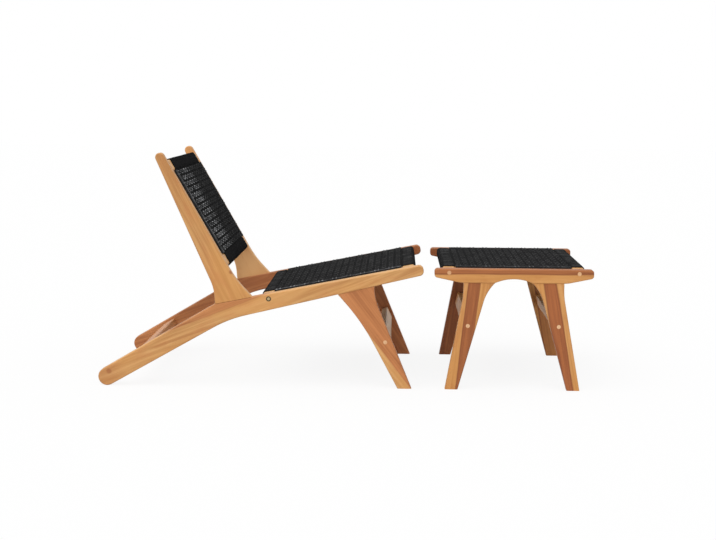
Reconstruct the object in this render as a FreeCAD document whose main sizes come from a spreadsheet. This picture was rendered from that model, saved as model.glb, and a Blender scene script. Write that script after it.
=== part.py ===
"""Outdoor chaise longue in two pieces: a low fixed lounge chair and its footstool.

Teak side frames carry three cord panels, each woven on its own frame of two cross rails and two
battens. The chair faces +X, +Z is up, and the origin lies on the floor at the middle of the set.
Lengths are in millimetres and angles in degrees. The sitter's right-hand side is at -Y: it is
modelled, and the left-hand side mirrors it.
"""
import FreeCAD
import Part
import Sketcher

import math
import os
import re
from dataclasses import dataclass

SIZES = {
    # Whole set
    "width": 600.0,
    "stool_gap": 33.5,
    "edge_r": 4.0,
    # Side rail of the chair: seat rail and rear leg cut from one board
    "rail_t": 30.0,
    "rail_len": 589.0,
    "seat_tilt": 11.3,
    "seat_front_z": 350.0,
    "front_depth": 29.0,
    "front_r": 13.0,
    "knee_lead": 28.0,
    "knee_depth": 50.0,
    "knee_r": 350.0,
    "rear_reach": 305.0,
    "rear_r": 25.0,
    # Back post
    "post_t": 26.0,
    "post_base": 105.0,
    "post_len": 396.9,
    "post_r": 12.5,
    "back_angle": 30.0,
    "flare_lead": 35.5,
    "flare_rise": 56.4,
    "flare_r": 300.0,
    "heel_lead": 5.0,
    "heel_rise": 45.0,
    "heel_r": 120.0,
    # Front leg of the chair
    "leg_t": 26.0,
    "leg_inset": 3.0,
    "leg_back": 313.5,
    "leg_top": 105.0,
    "leg_reach": 169.0,
    "foot_w": 39.0,
    "leg_rear_lead": 66.5,
    "leg_rear_drop": 74.0,
    "leg_rear_r": 600.0,
    "leg_front_lead": 1.5,
    "leg_front_drop": 36.0,
    "leg_front_r": 140.0,
    # Stretchers
    "stretcher_w": 37.0,
    "stretcher_t": 20.0,
    "stretcher_r": 4.0,
    "front_stretcher_z": 131.0,
    "front_stretcher_shift": 6.6,
    "rear_stretcher_along": 113.5,
    "rear_stretcher_up": 8.5,
    "stool_stretcher_z": 180.0,
    "stool_stretcher_shift": 2.0,
    # Woven panels: cross rails, battens and cord
    "cross_w": 34.0,
    "cross_h": 22.0,
    "cross_r": 5.0,
    "cross_drop": 11.0,
    "seat_inset": 41.0,
    "seat_span": 398.0,
    "back_rise": 60.6,
    "back_span": 304.0,
    "stool_span": 360.0,
    "batten_w": 24.0,
    "batten_h": 16.0,
    "batten_r": 3.0,
    "batten_drop": 0.3,
    "batten_gap": 5.0,
    "cord_d": 3.3,
    "cord_clear": 0.3,
    "cord_margin": 34.0,
    # Footstool
    "stool_h": 340.0,
    "stool_len": 441.0,
    "stool_rail_t": 30.0,
    "stool_depth": 39.0,
    "stool_tip": 24.0,
    "stool_tip_r": 9.0,
    "stool_taper": 72.0,
    "stool_taper_r": 90.0,
    "arch_rise": 21.0,
    "arch_r": 125.0,
    "stool_leg_out": 139.5,
    "stool_leg_top": 87.5,
    "stool_foot_out": 188.0,
    "stool_foot_w": 36.0,
    "stool_outer_drop": 36.0,
    "stool_outer_r": 200.0,
    "stool_inner_lead": 23.6,
    "stool_inner_drop": 26.2,
    "stool_inner_r": 120.0,
    # Dowels
    "dowel_r": 5.0,
    "dowel_len": 44.0,
    "dowel_clear": 0.1,
    "dowel_end": 1.0,
    "post_dowel_rear": 35.0,
    "post_dowel_pitch": 45.0,
    "leg_dowel_rear": 35.0,
    "leg_dowel_pitch": 35.0,
    "stool_dowel_out": 22.0,
    "stool_dowel_pitch": 30.0,
    "rail_dowel_len": 34.0,
    "rail_dowel_side": 18.0,
    "rail_dowel_pitch": 18.0,
    "batten_dowel_r": 4.0,
    "batten_dowel_len": 22.0,
    "batten_dowel_shift": 6.0,
    # Bolts with barrel nuts
    "bolt_r": 3.0,
    "bolt_len": 74.0,
    "bolt_head_r": 7.0,
    "bolt_head_h": 3.0,
    "bolt_clear": 0.2,
    "bolt_drop": 3.0,
    "socket_r": 2.9,
    "socket_depth": 1.8,
    "nut_r": 5.0,
    "nut_len": 16.0,
    "nut_in": 38.0,
    "nut_thread_len": 12.0,
    # Screws under wooden plugs
    "plug_r": 5.5,
    "plug_len": 6.0,
    "screw_r": 2.2,
    "screw_head_r": 4.0,
    "screw_head_h": 3.0,
    "screw_len": 46.0,
}

SIZE_WORD = re.compile(r"(?<![.\w])(" + "|".join(SIZES) + r")\b")
SIDE_PLANE = "XZ_Plane"
CROSS_PLANE = "YZ_Plane"
ACROSS = FreeCAD.Rotation(FreeCAD.Vector(1, 0, 0), -90)
ABOUT_Y = FreeCAD.Rotation(FreeCAD.Vector(0, 1, 0), 90)
SOCKET_SIDES = 6
MATCH = 0.01

doc = FreeCAD.newDocument("ChaiseLongue")
sheet = doc.addObject("Spreadsheet::Sheet", "Sizes")
for row, (alias, number) in enumerate(SIZES.items(), 1):
    sheet.set(f"A{row}", alias)
    sheet.set(f"B{row}", str(number))
    sheet.setAlias(f"B{row}", alias)
doc.recompute()

nodes = {}


def formula(text):
    """Turns a formula in size names into an expression on the sheet's cells."""
    return SIZE_WORD.sub(r"Sizes.\1", text)


def value(text):
    """Works a formula out as a number."""
    result = sheet.evalExpression(formula(text))
    return float(getattr(result, "Value", result))


def bind(item, target, text):
    """Binds one property of an object to a formula in size names."""
    item.setExpression(target, formula(text))


@dataclass(frozen=True)
class Place:
    """A point of the side view, as two formulas."""

    x: str
    z: str

    def moved(self, tilt, ahead="0", up="0"):
        """The point moved along a line at that tilt, and square to it."""
        x = f"({self.x} + ({ahead}) * cos({tilt}) - ({up}) * sin({tilt}))"
        z = f"({self.z} + ({ahead}) * sin({tilt}) + ({up}) * cos({tilt}))"
        return Place(x, z)


@dataclass(frozen=True)
class Turn:
    """A corner of an outline, sharp or rounded, or the centre of a round end.

    The side that leaves a turn which mates lies on another piece and keeps its edges sharp.
    """

    place: Place
    radius: str = ""
    round_end: bool = False
    mates: bool = False


class Outline:
    """A closed outline, drawn anticlockwise as a sketch of straight sides and arcs."""

    def __init__(self, turns):
        self.turns = turns
        self.corners = [FreeCAD.Vector(value(turn.place.x), value(turn.place.z), 0) for turn in turns]
        self.radii = [value(turn.radius) if turn.radius else 0.0 for turn in turns]
        self.sides = [self.side(index) for index in range(len(turns))]
        self.arcs = {}
        for index, turn in enumerate(turns):
            if turn.radius:
                self.arcs[index] = self.round(index)

    def side(self, index):
        """The straight side after a turn: a tangent where it leaves or reaches a round end."""
        after = (index + 1) % len(self.turns)
        start = self.corners[index]
        end = self.corners[after]
        leaving = self.radii[index] if self.turns[index].round_end else 0.0
        reaching = self.radii[after] if self.turns[after].round_end else 0.0
        run = end - start
        heading = math.atan2(run.y, run.x) - math.asin((reaching - leaving) / run.Length)
        normal = FreeCAD.Vector(-math.sin(heading), math.cos(heading), 0)
        return [start - normal * leaving, end - normal * reaching]

    def round(self, index):
        """The arc at a turn; a rounded corner also trims its two sides. Returns arc and hand."""
        before = self.sides[index - 1]
        after = self.sides[index]
        radius = self.radii[index]
        arriving = (before[1] - before[0]).normalize()
        leaving = (after[1] - after[0]).normalize()
        left = arriving.cross(leaving).z > 0
        centre = self.corners[index]
        if not self.turns[index].round_end:
            trim = radius * math.tan(arriving.getAngle(leaving) / 2)
            before[1] = self.corners[index] - arriving * trim
            after[0] = self.corners[index] + leaving * trim
            normal = FreeCAD.Vector(-arriving.y, arriving.x, 0)
            centre = before[1] + normal * (radius if left else -radius)
        ends = [before[1] - centre, after[0] - centre]
        if not left:
            ends.reverse()
        angles = [math.atan2(end.y, end.x) for end in ends]
        circle = Part.Circle(centre, FreeCAD.Vector(0, 0, 1), radius)
        return Part.ArcOfCircle(circle, angles[0], angles[1]), left

    def draw(self, sketch):
        """Adds the outline to a sketch, with every corner and radius bound to its formula."""
        lines = [sketch.addGeometry(Part.LineSegment(*side)) for side in self.sides]
        for index, turn in enumerate(self.turns):
            before = lines[index - 1]
            after = lines[index]
            if not turn.radius:
                self.join(sketch, "Coincident", before, 2, after, 1)
                self.fix(sketch, after, 1, turn.place)
                continue
            shape, left = self.arcs[index]
            arc = sketch.addGeometry(shape)
            first, last = (1, 2) if left else (2, 1)
            self.join(sketch, "Tangent", before, 2, arc, first)
            self.join(sketch, "Tangent", after, 1, arc, last)
            number = sketch.addConstraint(Sketcher.Constraint("Radius", arc, self.radii[index]))
            bind(sketch, f"Constraints[{number}]", turn.radius)
            if turn.round_end:
                self.fix(sketch, arc, 3, turn.place)
                continue
            corner = sketch.addGeometry(Part.Point(self.corners[index]), True)
            self.fix(sketch, corner, 1, turn.place)
            sketch.addConstraint(Sketcher.Constraint("PointOnObject", corner, 1, before))
            sketch.addConstraint(Sketcher.Constraint("PointOnObject", corner, 1, after))

    @staticmethod
    def join(sketch, kind, first, first_end, second, second_end):
        """Joins the ends of two sketch elements."""
        sketch.addConstraint(Sketcher.Constraint(kind, first, first_end, second, second_end))

    @staticmethod
    def fix(sketch, element, point, place):
        """Fixes a point of a sketch element at a place."""
        for kind, text in (("DistanceX", place.x), ("DistanceY", place.z)):
            number = sketch.addConstraint(Sketcher.Constraint(kind, element, point, value(text)))
            bind(sketch, f"Constraints[{number}]", text)

    def mating_middles(self):
        """The middles of the sides that lie on another piece."""
        sides = [side for side, turn in zip(self.sides, self.turns) if turn.mates]
        return [(side[0] + side[1]) * 0.5 for side in sides]


def new_sketch(body, name, plane, offset):
    """A sketch on one of the body's origin planes, moved out by an offset along its normal."""
    sketch = body.newObject("Sketcher::SketchObject", name)
    support = [item for item in body.Origin.OriginFeatures if item.Role == plane][0]
    sketch.AttachmentSupport = (support, [""])
    sketch.MapMode = "FlatFace"
    bind(sketch, "AttachmentOffset.Base.z", offset)
    return sketch


def pad(body, name, outlines, offset, length, plane=SIDE_PLANE):
    """Pads outlines, the first outside and the others as holes, from an offset plane."""
    sketch = new_sketch(body, f"{name}_sketch", plane, offset)
    for outline in outlines:
        outline.draw(sketch)
    feature = body.newObject("PartDesign::Pad", f"{name}_pad")
    feature.Profile = sketch
    bind(feature, "Length", length)
    doc.recompute()
    return feature


def soften(body, name, feature, outline):
    """Rounds the edges of a board's two broad faces, apart from those that meet another piece."""
    mating = outline.mating_middles()
    edges = []
    for number, edge in enumerate(feature.Shape.Edges, 1):
        middle = edge.valueAt((edge.FirstParameter + edge.LastParameter) / 2)
        flat = FreeCAD.Vector(middle.x, middle.z, 0)
        crosses = edge.BoundBox.YLength > MATCH
        meets = any((flat - point).Length < MATCH for point in mating)
        if not crosses and not meets:
            edges.append(f"Edge{number}")
    fillet = body.newObject("PartDesign::Fillet", f"{name}_soft_edges")
    fillet.Base = (feature, edges)
    bind(fillet, "Radius", "edge_r")
    doc.recompute()


def board(name, turns, thickness, outer):
    """A right-hand board cut to an outline, with softened edges and its outer face at -outer."""
    body = doc.addObject("PartDesign::Body", f"{name}_blank")
    outline = Outline(turns)
    feature = pad(body, name, [outline], f"{outer} - {thickness}", thickness)
    soften(body, name, feature, outline)
    return body


def bar_turns(centre_x, centre_z, wide, high, radius):
    """The four rounded corners of a bar's section."""
    signs = ((-1, -1), (1, -1), (1, 1), (-1, 1))
    places = [Place(f"({centre_x} + {x} * ({wide}) / 2)", f"({centre_z} + {z} * ({high}) / 2)")
              for x, z in signs]
    return [Turn(place, radius) for place in places]


def set_down(item, place, tilt):
    """Places an object that was modelled level at a place and a tilt of the side view."""
    item.Placement = FreeCAD.Placement(FreeCAD.Vector(), ABOUT_Y)
    bind(item, "Placement.Base.x", place.x)
    bind(item, "Placement.Base.z", place.z)
    bind(item, "Placement.Rotation.Angle", f"-({tilt})")


def cross_bar(name, centre_x, centre_z, wide, high, radius, half_len, place, tilt):
    """A bar that runs across the set between the two sides."""
    body = doc.addObject("PartDesign::Body", f"{name}_blank")
    outline = Outline(bar_turns(centre_x, centre_z, wide, high, radius))
    pad(body, name, [outline], f"-({half_len})", f"2 * ({half_len})")
    set_down(body, place, tilt)
    return body


def rod(name, radius, length):
    """A plain round rod along its own Z axis."""
    item = doc.addObject("Part::Cylinder", name)
    bind(item, "Radius", radius)
    bind(item, "Height", length)
    return item


def rod_across(name, radius, length, place, start):
    """A rod along +Y, from a start in Y."""
    item = rod(name, radius, length)
    item.Placement = FreeCAD.Placement(FreeCAD.Vector(), ACROSS)
    bind(item, "Placement.Base.x", place.x)
    bind(item, "Placement.Base.y", start)
    bind(item, "Placement.Base.z", place.z)
    return item


def rod_upright(name, radius, length, place, tilt, y):
    """A rod in the side view, square to a line at that tilt."""
    item = rod(name, radius, length)
    set_down(item, place, tilt)
    bind(item, "Placement.Base.y", y)
    return item


def mirrored(source, name):
    """The left-hand copy of a right-hand object."""
    item = doc.addObject("Part::Mirroring", name)
    item.Source = source
    item.Normal = FreeCAD.Vector(0, 1, 0)
    return item


def fore_and_aft(source, name):
    """The footstool's front copy of a rear object."""
    item = doc.addObject("Part::Mirroring", name)
    item.Source = source
    item.Normal = FreeCAD.Vector(1, 0, 0)
    bind(item, "Base.x", STOOL.x)
    return item


def joined(kind, name, items):
    """One object made of several: a Compound keeps them apart, a MultiFuse merges them."""
    item = doc.addObject(f"Part::{kind}", name)
    if kind == "Compound":
        item.Links = items
    else:
        item.Shapes = items
    return item


def drilled(name, blank, drills):
    """A piece with its holes."""
    item = doc.addObject("Part::Cut", name)
    item.Base = blank
    item.Tool = drills[0] if len(drills) == 1 else joined("MultiFuse", f"{name}_drills", drills)
    return item


def add_node(name, item):
    """Keeps an object as a sub-part under its own label."""
    item.Label = name
    nodes[name] = item


def add_pair(stem, right):
    """Keeps a right-hand object and its left-hand mirror as two sub-parts."""
    left = mirrored(right, stem.format("left"))
    add_node(stem.format("right"), right)
    add_node(stem.format("left"), left)


def add_fasteners(name, right):
    """Keeps right-hand fasteners and their mirrors as one sub-part of separate solids."""
    rights = joined("Compound", f"{name}_right", right)
    lefts = mirrored(rights, f"{name}_left")
    add_node(name, joined("Compound", name, [rights, lefts]))


def on_both_sides(drills):
    """Right-hand drills and their mirrors."""
    return drills + [mirrored(drill, f"{drill.Name}_left") for drill in drills]


def upright_dowel(name, place, tilt, y, radius="dowel_r", length="dowel_len"):
    """A dowel centred on a place of a seam, and the drill for both of its holes."""
    start = place.moved(tilt, up=f"-{length} / 2")
    dowel = rod_upright(f"{name}_dowel", radius, length, start, tilt, y)
    start = place.moved(tilt, up=f"-{length} / 2 - dowel_end")
    drill = rod_upright(f"{name}_drill", f"{radius} + dowel_clear", f"{length} + 2 * dowel_end",
                        start, tilt, y)
    return dowel, drill


def end_dowels(name, place, tilt, inner):
    """Two dowels into the end of a cross bar, side by side, and their drills."""
    dowels = []
    drills = []
    for number, sign in enumerate((-1, 1), 1):
        spot = place.moved(tilt, ahead=f"{sign} * rail_dowel_pitch / 2")
        start = f"-({inner}) - rail_dowel_side"
        dowels.append(rod_across(f"{name}_dowel_{number}", "dowel_r", "rail_dowel_len", spot, start))
        drills.append(rod_across(f"{name}_drill_{number}", "dowel_r + dowel_clear",
                                 "rail_dowel_len + 2 * dowel_end", spot, f"{start} - dowel_end"))
    return dowels, drills


def plugged_screw(name, place, outer):
    """A screw under a wooden plug, from the outer face inwards, and the drill for both."""
    plug = rod_across(f"{name}_plug", "plug_r", "plug_len", place, f"-({outer})")
    head = rod_across(f"{name}_head", "screw_head_r", "screw_head_h", place, f"-({outer}) + plug_len")
    shank = rod_across(f"{name}_shank", "screw_r", "screw_len", place, f"-({outer}) + plug_len")
    screw = joined("MultiFuse", f"{name}_screw", [head, shank])
    wide = rod_across(f"{name}_wide_drill", "plug_r + dowel_clear", "plug_len + screw_head_h",
                      place, f"-({outer})")
    narrow = rod_across(f"{name}_narrow_drill", "screw_r + dowel_clear",
                        "plug_len + screw_len + dowel_end", place, f"-({outer})")
    drill = joined("MultiFuse", f"{name}_drill", [wide, narrow])
    return plug, screw, drill


def woven_panel(prefix, ends, place, tilt, span, inner, end_drills):
    """A cord panel: two cross rails, two battens between them, their dowels and the weave."""
    batten_y = f"-({inner} - batten_gap - batten_w / 2)"
    batten_z = "-(batten_drop + batten_h / 2)"
    dowel_y = f"({batten_y} + batten_dowel_shift)"
    batten_half = f"({span} / 2 - cross_w / 2)"
    dowels = []
    drills = []
    for end, sign in zip(ends, (-1, 1)):
        seam = place.moved(tilt, ahead=f"{sign} * {batten_half}", up=batten_z)
        dowel, drill = upright_dowel(f"{prefix}_batten_{end}", seam, f"({tilt} - 90)", dowel_y,
                                     "batten_dowel_r", "batten_dowel_len")
        dowels.append(dowel)
        drills.append(drill)
        name = f"{prefix}_{end}_rail"
        blank = cross_bar(name, f"{sign} * {span} / 2", "-cross_drop", "cross_w", "cross_h", "cross_r",
                          inner, place, tilt)
        add_node(name, drilled(name, blank, on_both_sides([drill]) + end_drills[end]))
    add_fasteners(f"{prefix}_batten_dowels", dowels)

    batten = doc.addObject("PartDesign::Body", f"{prefix}_batten_blank")
    section = Outline(bar_turns(batten_y, batten_z, "batten_w", "batten_h", "batten_r"))
    pad(batten, f"{prefix}_batten", [section], f"-{batten_half}", f"2 * {batten_half}", CROSS_PLANE)
    set_down(batten, place, tilt)
    add_pair(f"{prefix}_{{}}_batten", drilled(f"{prefix}_right_batten", batten, drills))
    add_node(f"{prefix}_weave", weave(prefix, place, tilt, span, inner))


def weave(prefix, place, tilt, span, inner):
    """The woven cord: a sheet whose warps wrap the cross rails and whose wefts wrap the battens."""
    body = doc.addObject("PartDesign::Body", f"{prefix}_weave")
    reach = f"({span} / 2 + cross_w / 2 + cord_d)"
    bay = f"({span} / 2 - cross_w / 2 - cord_d)"
    top = "(cross_h / 2 - cross_drop + cord_d)"
    sheet_under = f"({top} - 2 * cord_d)"
    rail_under = "(-cross_drop - cross_h / 2 - cord_d)"
    low = [(f"-{reach}", rail_under), (f"-{bay}", rail_under), (f"-{bay}", sheet_under)]
    high = [(bay, sheet_under), (bay, rail_under), (reach, rail_under), (reach, top), (f"-{reach}", top)]
    warps = [Outline([Turn(Place(x, z)) for x, z in low + high])]
    for sign in (-1, 1):
        hole = bar_turns(f"{sign} * {span} / 2", "-cross_drop", "cross_w + 2 * cord_clear",
                         "cross_h + 2 * cord_clear", "cross_r")
        warps.append(Outline(hole))
    half = f"({inner} - cord_margin)"
    pad(body, f"{prefix}_warps", warps, f"-{half}", f"2 * {half}")

    outer = f"({inner} - batten_gap + cord_d)"
    edge = f"({inner} - batten_gap - batten_w - cord_d)"
    weft_top = "(-batten_drop + cord_d)"
    weft_under = "(-batten_drop + cord_clear)"
    wrap_under = "(-batten_drop - batten_h - cord_d)"
    left = [(f"-{outer}", wrap_under), (f"-{edge}", wrap_under), (f"-{edge}", weft_under)]
    right = [(edge, weft_under), (edge, wrap_under), (outer, wrap_under), (outer, weft_top),
             (f"-{outer}", weft_top)]
    wefts = [Outline([Turn(Place(x, z)) for x, z in left + right])]
    for sign in (-1, 1):
        hole = bar_turns(f"{sign} * ({inner} - batten_gap - batten_w / 2)", "-(batten_drop + batten_h / 2)",
                         "batten_w + 2 * cord_clear", "batten_h + 2 * cord_clear", "batten_r")
        wefts.append(Outline(hole))
    length = f"({bay} - cord_clear)"
    pad(body, f"{prefix}_wefts", wefts, f"-{length}", f"2 * {length}", CROSS_PLANE)
    set_down(body, place, tilt)
    return body


# Places that the pieces share
HALF = "width / 2"
INSIDE_RAILS = "(width / 2 - rail_t)"
INSIDE_POSTS = "(width / 2 - post_t)"
INSIDE_STOOL = "(width / 2 - stool_rail_t)"
LEG_FACE = "(width / 2 - leg_inset)"
INSIDE_LEGS = "(width / 2 - leg_inset - leg_t)"
BACK_TILT = "(back_angle - 90)"
UNDER_TILT = "(seat_tilt * 1 deg + atan((knee_depth - front_depth) / (rail_len - knee_lead)))"
SEAT_FRONT = Place("((rail_len * cos(seat_tilt) + rear_reach + rear_r - stool_gap - stool_len) / 2)",
                   "seat_front_z")
KNEE = SEAT_FRONT.moved("seat_tilt", ahead="-rail_len")
KNEE_UNDER = KNEE.moved("seat_tilt", ahead="knee_lead", up="-knee_depth")
REAR_END = Place(f"({KNEE.x} - rear_reach)", "rear_r")
FLARE = KNEE.moved("seat_tilt", ahead="post_base - flare_lead", up="flare_rise")
LEG_TOP_REAR = KNEE_UNDER.moved(UNDER_TILT, ahead="leg_back")
LEG_TOP_FRONT = KNEE_UNDER.moved(UNDER_TILT, ahead="leg_back + leg_top")
FOOT_REAR = Place(f"({LEG_TOP_REAR.x} + leg_reach)", "0")
FOOT_FRONT = Place(f"({FOOT_REAR.x} + foot_w)", "0")
LEG_REAR_BEND = Place(f"({LEG_TOP_REAR.x} + leg_rear_lead)", f"({LEG_TOP_REAR.z} - leg_rear_drop)")
LEG_FRONT_BEND = Place(f"({LEG_TOP_FRONT.x} + leg_front_lead)", f"({LEG_TOP_FRONT.z} - leg_front_drop)")
STOOL = Place(f"({SEAT_FRONT.x} + stool_gap + stool_len / 2)", "stool_h")
SEAT_PANEL = SEAT_FRONT.moved("seat_tilt", ahead="-(seat_inset + seat_span / 2)")
BACK_PANEL = FLARE.moved(BACK_TILT, ahead="-(back_rise + back_span / 2)")


def middle(first, second):
    """The place halfway between two places."""
    return Place(f"(({first.x} + {second.x}) / 2)", f"(({first.z} + {second.z}) / 2)")


def on_line(low, high, height, shift):
    """The place on a line between two places at a height, shifted along X."""
    share = f"(({height} - {low.z}) / ({high.z} - {low.z}))"
    return Place(f"({low.x} + ({high.x} - {low.x}) * {share} + {shift})", height)


def lean(low, high):
    """The angle by which a line from low to high leans back from upright."""
    return f"atan2({low.x} - {high.x}; {high.z} - {low.z})"


# Chair: dowels and bolts of the right-hand side
post_dowels = []
post_drills = []
leg_dowels = []
leg_drills = []
post_y = f"-({HALF} - post_t / 2)"
leg_y = f"-({LEG_FACE} - leg_t / 2)"
for number in (0, 1):
    spot = KNEE.moved("seat_tilt", ahead=f"post_dowel_rear + {number} * post_dowel_pitch")
    dowel, drill = upright_dowel(f"post_{number}", spot, "seat_tilt", post_y)
    post_dowels.append(dowel)
    post_drills.append(drill)
    spot = LEG_TOP_REAR.moved(UNDER_TILT, ahead=f"leg_dowel_rear + {number} * leg_dowel_pitch")
    dowel, drill = upright_dowel(f"leg_{number}", spot, UNDER_TILT, leg_y)
    leg_dowels.append(dowel)
    leg_drills.append(drill)
add_fasteners("post_dowels", post_dowels)
add_fasteners("leg_dowels", leg_dowels)

seat_front_spot = SEAT_PANEL.moved("seat_tilt", ahead="seat_span / 2", up="-cross_drop")
seat_dowels, seat_drills = end_dowels("seat_front", seat_front_spot, "seat_tilt", INSIDE_RAILS)
add_fasteners("seat_rail_dowels", seat_dowels)

back_dowels = []
back_drills = {}
for end, sign in (("top", -1), ("bottom", 1)):
    spot = BACK_PANEL.moved(BACK_TILT, ahead=f"{sign} * back_span / 2", up="-cross_drop")
    dowels, back_drills[end] = end_dowels(f"back_{end}", spot, BACK_TILT, INSIDE_POSTS)
    back_dowels.extend(dowels)
add_fasteners("back_rail_dowels", back_dowels)

rear_lean = lean(REAR_END, middle(KNEE, KNEE_UNDER))
rear_spot = REAR_END.moved(f"(90 deg + {rear_lean})", ahead="rear_stretcher_along",
                           up="rear_stretcher_up")
rear_dowels, rear_drills = end_dowels("rear_stretcher", rear_spot, f"(90 deg + {rear_lean})", INSIDE_RAILS)
add_fasteners("rear_stretcher_dowels", rear_dowels)

# Chair: bolts into barrel nuts in the seat's rear cross rail
bolt_spot = SEAT_PANEL.moved("seat_tilt", ahead="-seat_span / 2", up="-(cross_drop + bolt_drop)")
bolt_head = rod_across("bolt_head", "bolt_head_r", "bolt_head_h", bolt_spot, f"-{HALF}")
bolt_shank = rod_across("bolt_shank", "bolt_r", "bolt_len", bolt_spot, f"-{HALF}")
socket = doc.addObject("Part::Prism", "bolt_socket")
socket.Polygon = SOCKET_SIDES
socket.Placement = FreeCAD.Placement(FreeCAD.Vector(), ACROSS)
bind(socket, "Circumradius", "socket_r")
bind(socket, "Height", "socket_depth")
bind(socket, "Placement.Base.x", bolt_spot.x)
bind(socket, "Placement.Base.y", f"-{HALF}")
bind(socket, "Placement.Base.z", bolt_spot.z)
bolt = drilled("bolt", joined("MultiFuse", "bolt_blank", [bolt_head, bolt_shank]), [socket])
add_fasteners("seat_bolts", [bolt])

nut_y = f"-({INSIDE_RAILS} - nut_in)"
nut_start = bolt_spot.moved("seat_tilt", up="-nut_len / 2")
nut_blank = rod_upright("nut_blank", "nut_r", "nut_len", nut_start, "seat_tilt", nut_y)
nut_thread = rod_across("nut_thread", "bolt_r + dowel_clear", "nut_thread_len", bolt_spot,
                        f"{nut_y} - nut_thread_len / 2")
add_fasteners("barrel_nuts", [drilled("barrel_nut", nut_blank, [nut_thread])])

bolt_wide = rod_across("bolt_wide_drill", "bolt_head_r + bolt_clear", "bolt_head_h", bolt_spot, f"-{HALF}")
bolt_narrow = rod_across("bolt_narrow_drill", "bolt_r + bolt_clear", "bolt_len + dowel_end", bolt_spot,
                         f"-{HALF}")
bolt_drill = joined("MultiFuse", "bolt_drill", [bolt_wide, bolt_narrow])
nut_drill_start = bolt_spot.moved("seat_tilt", up="-cross_h")
nut_drill = rod_upright("nut_drill", "nut_r + dowel_clear", "cross_h + nut_len / 2 + dowel_end",
                        nut_drill_start, "seat_tilt", nut_y)

# Chair: side frames
rail_turns = [
    Turn(REAR_END, "rear_r", round_end=True),
    Turn(KNEE_UNDER, "knee_r"),
    Turn(SEAT_FRONT.moved("seat_tilt", up="-front_depth"), "front_r"),
    Turn(SEAT_FRONT, "front_r"),
    Turn(KNEE),
]
rail_blank = board("right_side_rail", rail_turns, "rail_t", HALF)
rail_drills = post_drills + leg_drills + seat_drills + rear_drills + [bolt_drill]
add_pair("{}_side_rail", drilled("right_side_rail", rail_blank, rail_drills))

post_turns = [
    Turn(KNEE, mates=True),
    Turn(KNEE.moved("seat_tilt", ahead="post_base")),
    Turn(FLARE, "flare_r"),
    Turn(FLARE.moved(BACK_TILT, ahead="-post_len", up="-post_r"), "post_r", round_end=True),
    Turn(KNEE.moved("seat_tilt", ahead="heel_lead", up="heel_rise"), "heel_r"),
]
post_blank = board("right_back_post", post_turns, "post_t", HALF)
post_holes = post_drills + back_drills["top"] + back_drills["bottom"]
add_pair("{}_back_post", drilled("right_back_post", post_blank, post_holes))

leg_turns = [
    Turn(FOOT_REAR, mates=True),
    Turn(FOOT_FRONT),
    Turn(LEG_FRONT_BEND, "leg_front_r"),
    Turn(LEG_TOP_FRONT, mates=True),
    Turn(LEG_TOP_REAR),
    Turn(LEG_REAR_BEND, "leg_rear_r"),
]
leg_blank = board("right_front_leg", leg_turns, "leg_t", LEG_FACE)
leg_low = middle(FOOT_REAR, FOOT_FRONT)
leg_high = middle(LEG_REAR_BEND, LEG_FRONT_BEND)
front_spot = on_line(leg_low, leg_high, "front_stretcher_z", "front_stretcher_shift")
plug, screw, front_drill = plugged_screw("front_stretcher", front_spot, LEG_FACE)
add_fasteners("front_stretcher_plugs", [plug])
add_fasteners("front_stretcher_screws", [screw])
add_pair("{}_front_leg", drilled("right_front_leg", leg_blank, leg_drills + [front_drill]))

# Chair: stretchers
front_blank = cross_bar("front_stretcher", "0", "0", "stretcher_t", "stretcher_w", "stretcher_r",
                        INSIDE_LEGS, front_spot, lean(leg_low, leg_high))
add_node("front_stretcher", drilled("front_stretcher", front_blank, on_both_sides([front_drill])))
rear_blank = cross_bar("rear_stretcher", "0", "0", "stretcher_t", "stretcher_w", "stretcher_r",
                       INSIDE_RAILS, rear_spot, rear_lean)
add_node("rear_stretcher", drilled("rear_stretcher", rear_blank, on_both_sides(rear_drills)))

# Chair: woven seat and back
seat_end_drills = {"rear": on_both_sides([bolt_drill, nut_drill]), "front": on_both_sides(seat_drills)}
woven_panel("seat", ("rear", "front"), SEAT_PANEL, "seat_tilt", "seat_span", INSIDE_RAILS, seat_end_drills)
back_end_drills = {end: on_both_sides(drills) for end, drills in back_drills.items()}
woven_panel("back", ("top", "bottom"), BACK_PANEL, BACK_TILT, "back_span", INSIDE_POSTS, back_end_drills)

# Footstool: legs, rails and stretchers
STOOL_UNDER = "(stool_h - stool_depth)"


def stool_place(ahead, height):
    """A place given from the middle of the footstool."""
    return Place(f"({STOOL.x} + {ahead})", height)


stool_top_out = stool_place("-stool_leg_out", STOOL_UNDER)
stool_top_in = stool_place("(stool_leg_top - stool_leg_out)", STOOL_UNDER)
stool_foot_out = stool_place("-stool_foot_out", "0")
stool_foot_in = stool_place("(stool_foot_w - stool_foot_out)", "0")
stool_bend_in = Place(f"({stool_top_in.x} - stool_inner_lead)", f"({STOOL_UNDER} - stool_inner_drop)")
stool_bend_out = Place(stool_top_out.x, f"({STOOL_UNDER} - stool_outer_drop)")
stool_leg_turns = [
    Turn(stool_foot_out, mates=True),
    Turn(stool_foot_in),
    Turn(stool_bend_in, "stool_inner_r"),
    Turn(stool_top_in, mates=True),
    Turn(stool_top_out),
    Turn(stool_bend_out, "stool_outer_r"),
]
stool_dowels = []
stool_leg_drills = []
for number in (0, 1):
    spot = Place(f"({stool_top_out.x} + stool_dowel_out + {number} * stool_dowel_pitch)", STOOL_UNDER)
    dowel, drill = upright_dowel(f"stool_leg_{number}", spot, "0", leg_y)
    stool_dowels.append(dowel)
    stool_leg_drills.append(drill)
front_dowels = [fore_and_aft(dowel, f"{dowel.Name}_front") for dowel in stool_dowels]
add_fasteners("stool_leg_dowels", stool_dowels + front_dowels)

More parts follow.
